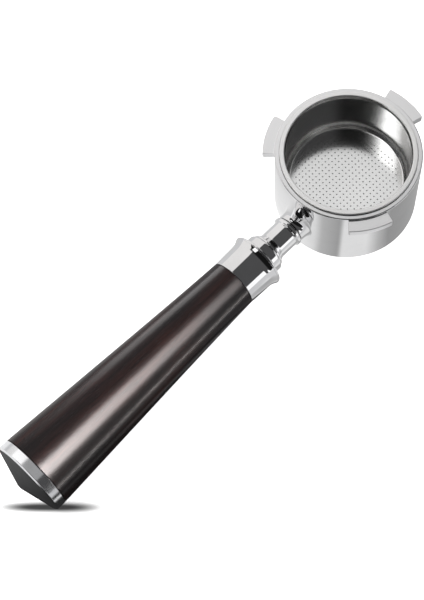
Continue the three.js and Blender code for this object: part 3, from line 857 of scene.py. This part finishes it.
class PORTAFILTER_OT_handle(bpy.types.Operator):
    """Builds the neck, collar, ferrule, wooden grip and end cap, and finishes the pieces inside them"""

    bl_idname = "portafilter.handle"
    bl_label = "Build handle"

    def execute(self, context):
        s = context.scene.portafilter_handle
        centre = (0.0, 0.0, HANDLE_Z)
        chrome = chrome_finish("handle chrome, mirror polished", tuple(s.chrome))
        aluminium = tuple(s.aluminium)
        cap = turned_metal("cap aluminium, turned", aluminium, 0.13, 0.2, 2600, 0.006 * MM, centre)
        wood = wood_finish("grip wood, dark and lacquered", tuple(s.wood), tuple(s.wood_red), centre)
        pieces = (
            ("neck_tube", neck_section(s), chrome, "handle_chrome", "neck_sleeve"),
            ("collar_ring", collar_section(s), chrome, "handle_chrome", "neck_collar"),
            ("ferrule_bell", ferrule_section(s), chrome, "handle_chrome", "bell_ferrule"),
            ("grip_turned", grip_section(s), wood, "grip_wood", "wood_grip"),
            ("cap_turned", cap_section(s), cap, "cap_aluminium", "end_cap"),
        )
        for name, section, material, slot, node in pieces:
            new_piece(name, *turned_about_handle(section, HANDLE_SIDES), material, "cup", slot, [node])
        self.inner_pieces(centre)
        return {"FINISHED"}

    def inner_pieces(self, centre):
        """Materials for the pieces that the handle hides."""
        steel, brass, depth = (0.6, 0.6, 0.59), (0.72, 0.53, 0.24), 0.02 * MM
        machined = turned_metal("rod steel, machined", steel, 0.24, 0.4, 1500, depth, centre)
        bush = turned_metal("bush brass, machined", brass, 0.22, 0.36, 1500, depth, centre)
        rubber = rubber_finish("seal rubber, black", (0.02, 0.02, 0.021))
        fibre = fibre_finish("washer fibre, red", (0.3, 0.085, 0.055))
        for node in ("core_rod", "rear_washer", "lock_washer", "rod_nut"):
            repaint(node, machined)
        repaint("front_bush", bush)
        repaint("ferrule_washer", fibre)
        for node in ("boss_o_ring", "cap_o_ring"):
            repaint(node, rubber)


# ------------------------------------------------------------------ stage
# Grey cards laid round the cup, seen only as reflections: (share of the way round from the handle, brightness).
CARDS = (
    (0.0, 0.95), (0.042, 0.78), (0.06, 0.5), (0.1, 0.37), (0.11, 0.82), (0.165, 0.82), (0.195, 0.5),
    (0.222, 0.33), (0.36, 0.4), (0.5, 0.6), (0.88, 0.9), (0.93, 1.05), (1.0, 1.0),
)
# Painted reflection for the boss: bands on the floor under the handle, behind the boss, seen only in reflections,
# dark ones standing for the neck's shade and pale ones between them: (share of the half turn about the boss,
# brightness).
BOSS_PAINTED_REFLECTION_BANDS = (
    (0.28, 0.66), (0.311, 0.5), (0.317, 0.02), (0.376, 0.02), (0.383, 0.85), (0.405, 0.85),
    (0.411, 0.02), (0.48, 0.03), (0.555, 0.12), (0.561, 0.98), (0.7, 0.98), (0.74, 0.66),
)


def soft_light(name, place, target, size, energy, glossy, tone=(1, 1, 1)):
    """A rectangular light that looks at its target."""
    data = bpy.data.lights.new(name, "AREA")
    data.shape, data.size, data.size_y = "RECTANGLE", size[0], size[1]
    data.energy, data.color = energy, tone
    light = bpy.data.objects.new(name, data)
    bpy.context.scene.collection.objects.link(light)
    light.location = place
    light.rotation_euler = (Vector(target) - Vector(place)).to_track_quat("-Z", "Y").to_euler()
    light.visible_glossy = glossy
    light.visible_camera = False
    return light


def linked(light, name, pieces):
    """Keeps a light to the named pieces."""
    only = bpy.data.collections.new(name)
    for piece in pieces:
        only.objects.link(bpy.data.objects[piece])
    light.light_linking.receiver_collection = only


def build_world(s):
    """Surroundings by direction, seen only as reflections: pale on both sides, a dark ceiling that runs the length
    of the handle, a black flag beyond the handle's end and a bright window in it. Angles are measured from straight
    up in the plane across the handle."""
    world = bpy.data.worlds.new("studio")
    bpy.context.scene.world = world
    sky = Surface(world)
    x, y, z = sky.parts(sky.add("ShaderNodeTexCoord", output="Generated"))
    lean = y.maths("ARCTAN2", y, z)

    def past(value, degrees, soft=0.8):
        """1 past an angle in degrees, with a soft edge."""
        return value.rises(math.radians(degrees - soft), math.radians(degrees + soft))

    def zone(start, end):
        """1 between two angles."""
        return past(lean, start) * (1 - past(lean, end))

    near_edge = lean + x.rises(0.2, 0.14) * x.rises(-0.1, 0.0) * math.radians(20)
    near_edge = near_edge + x.rises(0.1, -0.6) * math.radians(35)
    far_edge = lean - x.rises(-0.35, -0.8) * math.radians(30)
    over = past(near_edge, -70)
    ceiling = over * (1 - zone(22, 180))
    flag = over * (1 - past(far_edge, 38)) * x.rises(-0.16, -0.28) * x.rises(-0.94, -0.9)
    window = zone(12, 31) * x.rises(-0.36, -0.38) * x.rises(-0.68, -0.66)
    near_wall = zone(-115, -60) * (1 - over)
    tone = sky.mix(near_wall, (0.86, 0.845, 0.835), grey(1.15))
    tone = sky.mix(ceiling, tone, (s.dark, s.dark, s.dark * 1.02))
    tone = sky.mix(flag, tone, grey(s.black))
    tone = sky.mix(window, tone, grey(1.3))
    seen = sky.add("ShaderNodeLightPath", output="Is Camera Ray")
    tone = sky.mix(seen, tone, grey(1.0))
    light = sky.add("ShaderNodeBackground", None, {"Color": tone, "Strength": 1.0})
    sky.add("ShaderNodeOutputWorld", None, {"Surface": light})


def floor_finish(s):
    """Pale light table with a painted shadow, a soft dark stripe where the cap nearly touches it, and painted shade
    inside the cup's foot. What the polished metal picks up from it is a calmer tone, with pale and grey cards laid
    round the cup and painted reflection bands under the handle for the boss."""
    f = new_surface("floor, pale")
    x, y, _ = f.parts(f.position())
    along_x, along_y = math.cos(s.azimuth - 0.1), math.sin(s.azimuth - 0.1)
    from_x, from_y = x - (-CAP_END + 4.4 * MM), y + 9.4 * MM
    lengthwise = (from_x * along_x + from_y * along_y) / (24.2 * MM)
    crosswise = (from_y * along_x - from_x * along_y) / (2.8 * MM)
    away = ((lengthwise * lengthwise) ** 1.5 + crosswise * crosswise).sqrt()
    # Painted shadow: a soft dark stripe laid on the floor under the cap's end
    painted_cap_shadow = away.rises(1.15, 0.2)
    reach = (x * x + y * y).sqrt()
    # Painted shade: the cap's painted shadow and the floor inside the cup's foot darken the floor's colour and cut
    # its glow
    shade = painted_cap_shadow.maths("MAXIMUM", painted_cap_shadow, reach.rises(29.5 * MM, 27.5 * MM))
    grain = f.noise(f.position(), 400, 3)
    tone = f.mix(grain.rises(0.3, 0.7), tuple(s.floor), tinted(s.floor, 0.98))
    table = f.add("ShaderNodeBsdfPrincipled", None, {
        "Base Color": f.mix(shade, tone, grey(0.02)), "Roughness": 0.8,
        "Emission Color": f.mix(shade, grey(1), grey(0.05)), "Emission Strength": s.glow,
    })
    spreading = (reach - 0.03) * 21
    turn = (y.maths("ARCTAN2", y, x) / (2 * math.pi) + 0.5 + spreading * 0.097) / (spreading + 1)
    far = f.mix(x.rises(-0.17, -0.2), (0.66, 0.66, 0.67), (0.92, 0.92, 0.93))
    picked_up = f.mix(reach.rises(0.055, 0.085), f.ramp(turn, CARDS), far)
    # Painted reflection: bands under the handle behind the boss, which stripe the boss's polish with the neck's
    # painted shade
    toward = y.maths("ARCTAN2", y, (x + 0.034) * -1) / math.pi + 0.5
    behind = x.rises(-0.046, -0.052) * x.rises(-0.32, -0.28)
    behind = behind * toward.rises(0.27, 0.28) * toward.rises(0.75, 0.74)
    picked_up = f.mix(behind, picked_up, f.ramp(toward, BOSS_PAINTED_REFLECTION_BANDS))
    # The same painted shade darkens what the metal picks up from the floor
    picked_up = f.mix(shade, picked_up, grey(0.02))
    reflected = f.add("ShaderNodeEmission", None, {"Color": picked_up, "Strength": 1.0})
    seen = f.add("ShaderNodeLightPath", output="Is Camera Ray")
    either = f.add("ShaderNodeMixShader", None, {0: seen, 1: reflected, 2: table})
    f.add("ShaderNodeOutputMaterial", None, {"Surface": either})
    return f.owner


class PORTAFILTER_OT_stage(bpy.types.Operator):
    """Sets up the floor, the lights, the surroundings and the camera"""

    bl_idname = "portafilter.stage"
    bl_label = "Build stage"

    def execute(self, context):
        s = context.scene.portafilter_stage
        scene = context.scene
        scene.view_settings.view_transform = "Standard"
        scene.view_settings.look = "None"
        build_world(s)
        self.floor(s)
        self.lights()
        self.camera(s, scene)
        return {"FINISHED"}

    def floor(self, s):
        """A square floor that the cup's foot stands on."""
        corners = [(3.0 * x, 3.0 * y, CUP_LOW.z) for x, y in ((-1, -1), (1, -1), (1, 1), (-1, 1))]
        mesh = bpy.data.meshes.new("floor")
        mesh.from_pydata(corners, [], [(0, 1, 2, 3)])
        mesh.materials.append(floor_finish(s))
        floor = bpy.data.objects.new("floor", mesh)
        bpy.context.scene.collection.objects.link(floor)

    def lights(self):
        """Two soft lights for everything, and lights that keep to one piece or two."""
        middle = (-0.08, 0.0, -0.02)
        key = soft_light("cup_key", (0.29, 0.23, 0.74), (0, 0, 0), (0.42, 0.42), 0.42, True)
        linked(key, "lit_by_cup_key", ["cup_shell", "basket_sheet"])
        soft_light("overhead", (-0.3, 0.35, 1.1), middle, (1.2, 1.2), 14, False)
        soft_light("fill", (0.5, -0.9, 0.9), middle, (0.9, 0.9), 6, False)
        card = soft_light("basket_card", (-0.26, 0.22, 0.72), (0, 0, 0), (0.34, 0.34), 0.75, True)
        linked(card, "lit_by_basket_card", ["basket_sheet"])
        warm = (1.0, 0.95, 0.93)
        self.strip("grip_strip", -32, -0.29, (0.56, 0.34), 52.0, warm, "grip_turned")
        self.strip("grip_front", -32, -0.1, (0.4, 0.34), 15.5, warm, "grip_turned")
        self.strip("grip_side", 88, 0.2, (0.4, 0.5), 5.0, (1, 1, 1), "grip_turned")
        self.strip("grip_line", -93, -0.1, (0.4, 0.006), 0.6, warm, "grip_turned", 0.2)
        self.strip("cap_card", -8, -0.126, (0.3, 0.6), 0.17, (1, 1, 1), "cap_turned")
        self.strip("cap_white", 44, -0.126, (0.3, 0.4), 0.13, (1, 1, 1), "cap_turned")

    def strip(self, name, lean, place, size, energy, tone, piece, reach=0.55):
        """A light beside the handle, at an angle from straight up, that only shows as a reflection on one piece."""
        lean = math.radians(lean)
        light = soft_light(
            name, (place, reach * math.sin(lean), HANDLE_Z + reach * math.cos(lean)),
            (place, 0, HANDLE_Z), size, energy, True, tone,
        )
        light.visible_diffuse = False
        linked(light, "lit_by_" + name, [piece])

    def camera(self, s, scene):
        """The camera, from its place, direction and turn."""
        side = Vector((math.cos(s.azimuth), math.sin(s.azimuth), 0))
        flat = math.cos(s.elevation)
        back = Vector((math.sin(s.azimuth) * flat, -math.cos(s.azimuth) * flat, math.sin(s.elevation)))
        turn = Matrix((side, back.cross(side), back)).transposed() @ Matrix.Rotation(s.roll, 3, "Z")
        data = bpy.data.cameras.new("view")
        data.lens, data.clip_start, data.clip_end = s.lens, 0.01, 20.0
        data.dof.use_dof = False
        camera = bpy.data.objects.new("view", data)
        scene.collection.objects.link(camera)
        camera.matrix_world = Matrix.Translation(s.place) @ turn.to_4x4()
        scene.camera = camera


class PORTAFILTER_PT_panel(bpy.types.Panel):
    """Lists the portafilter's pieces and their settings"""

    bl_idname = "PORTAFILTER_PT_panel"
    bl_label = "Portafilter"
    bl_space_type = "VIEW_3D"
    bl_region_type = "UI"
    bl_category = "Portafilter"

    def draw(self, context):
        for group, operator in STEPS:
            settings = getattr(context.scene, group)
            box = self.layout.box()
            for name in settings.bl_rna.properties.keys()[2:]:
                box.prop(settings, name)
            box.operator(operator)


STEPS = (
    ("portafilter_cup", "portafilter.cup"),
    ("portafilter_basket", "portafilter.basket"),
    ("portafilter_handle", "portafilter.handle"),
    ("portafilter_stage", "portafilter.stage"),
)
GROUPS = {
    "portafilter_cup": PortafilterCup,
    "portafilter_basket": PortafilterBasket,
    "portafilter_handle": PortafilterHandle,
    "portafilter_stage": PortafilterStage,
}
CLASSES = (
    *GROUPS.values(),
    PORTAFILTER_OT_cup,
    PORTAFILTER_OT_basket,
    PORTAFILTER_OT_handle,
    PORTAFILTER_OT_stage,
    PORTAFILTER_PT_panel,
)


def register():
    for cls in CLASSES:
        bpy.utils.register_class(cls)
    for name, group in GROUPS.items():
        setattr(bpy.types.Scene, name, bpy.props.PointerProperty(type=group))


def unregister():
    for name in GROUPS:
        delattr(bpy.types.Scene, name)
    for cls in reversed(CLASSES):
        bpy.utils.unregister_class(cls)


def main():
    register()
    for _, operator in STEPS:
        group, name = operator.split(".")
        getattr(getattr(bpy.ops, group), name)()


if __name__ == "__main__":
    main()
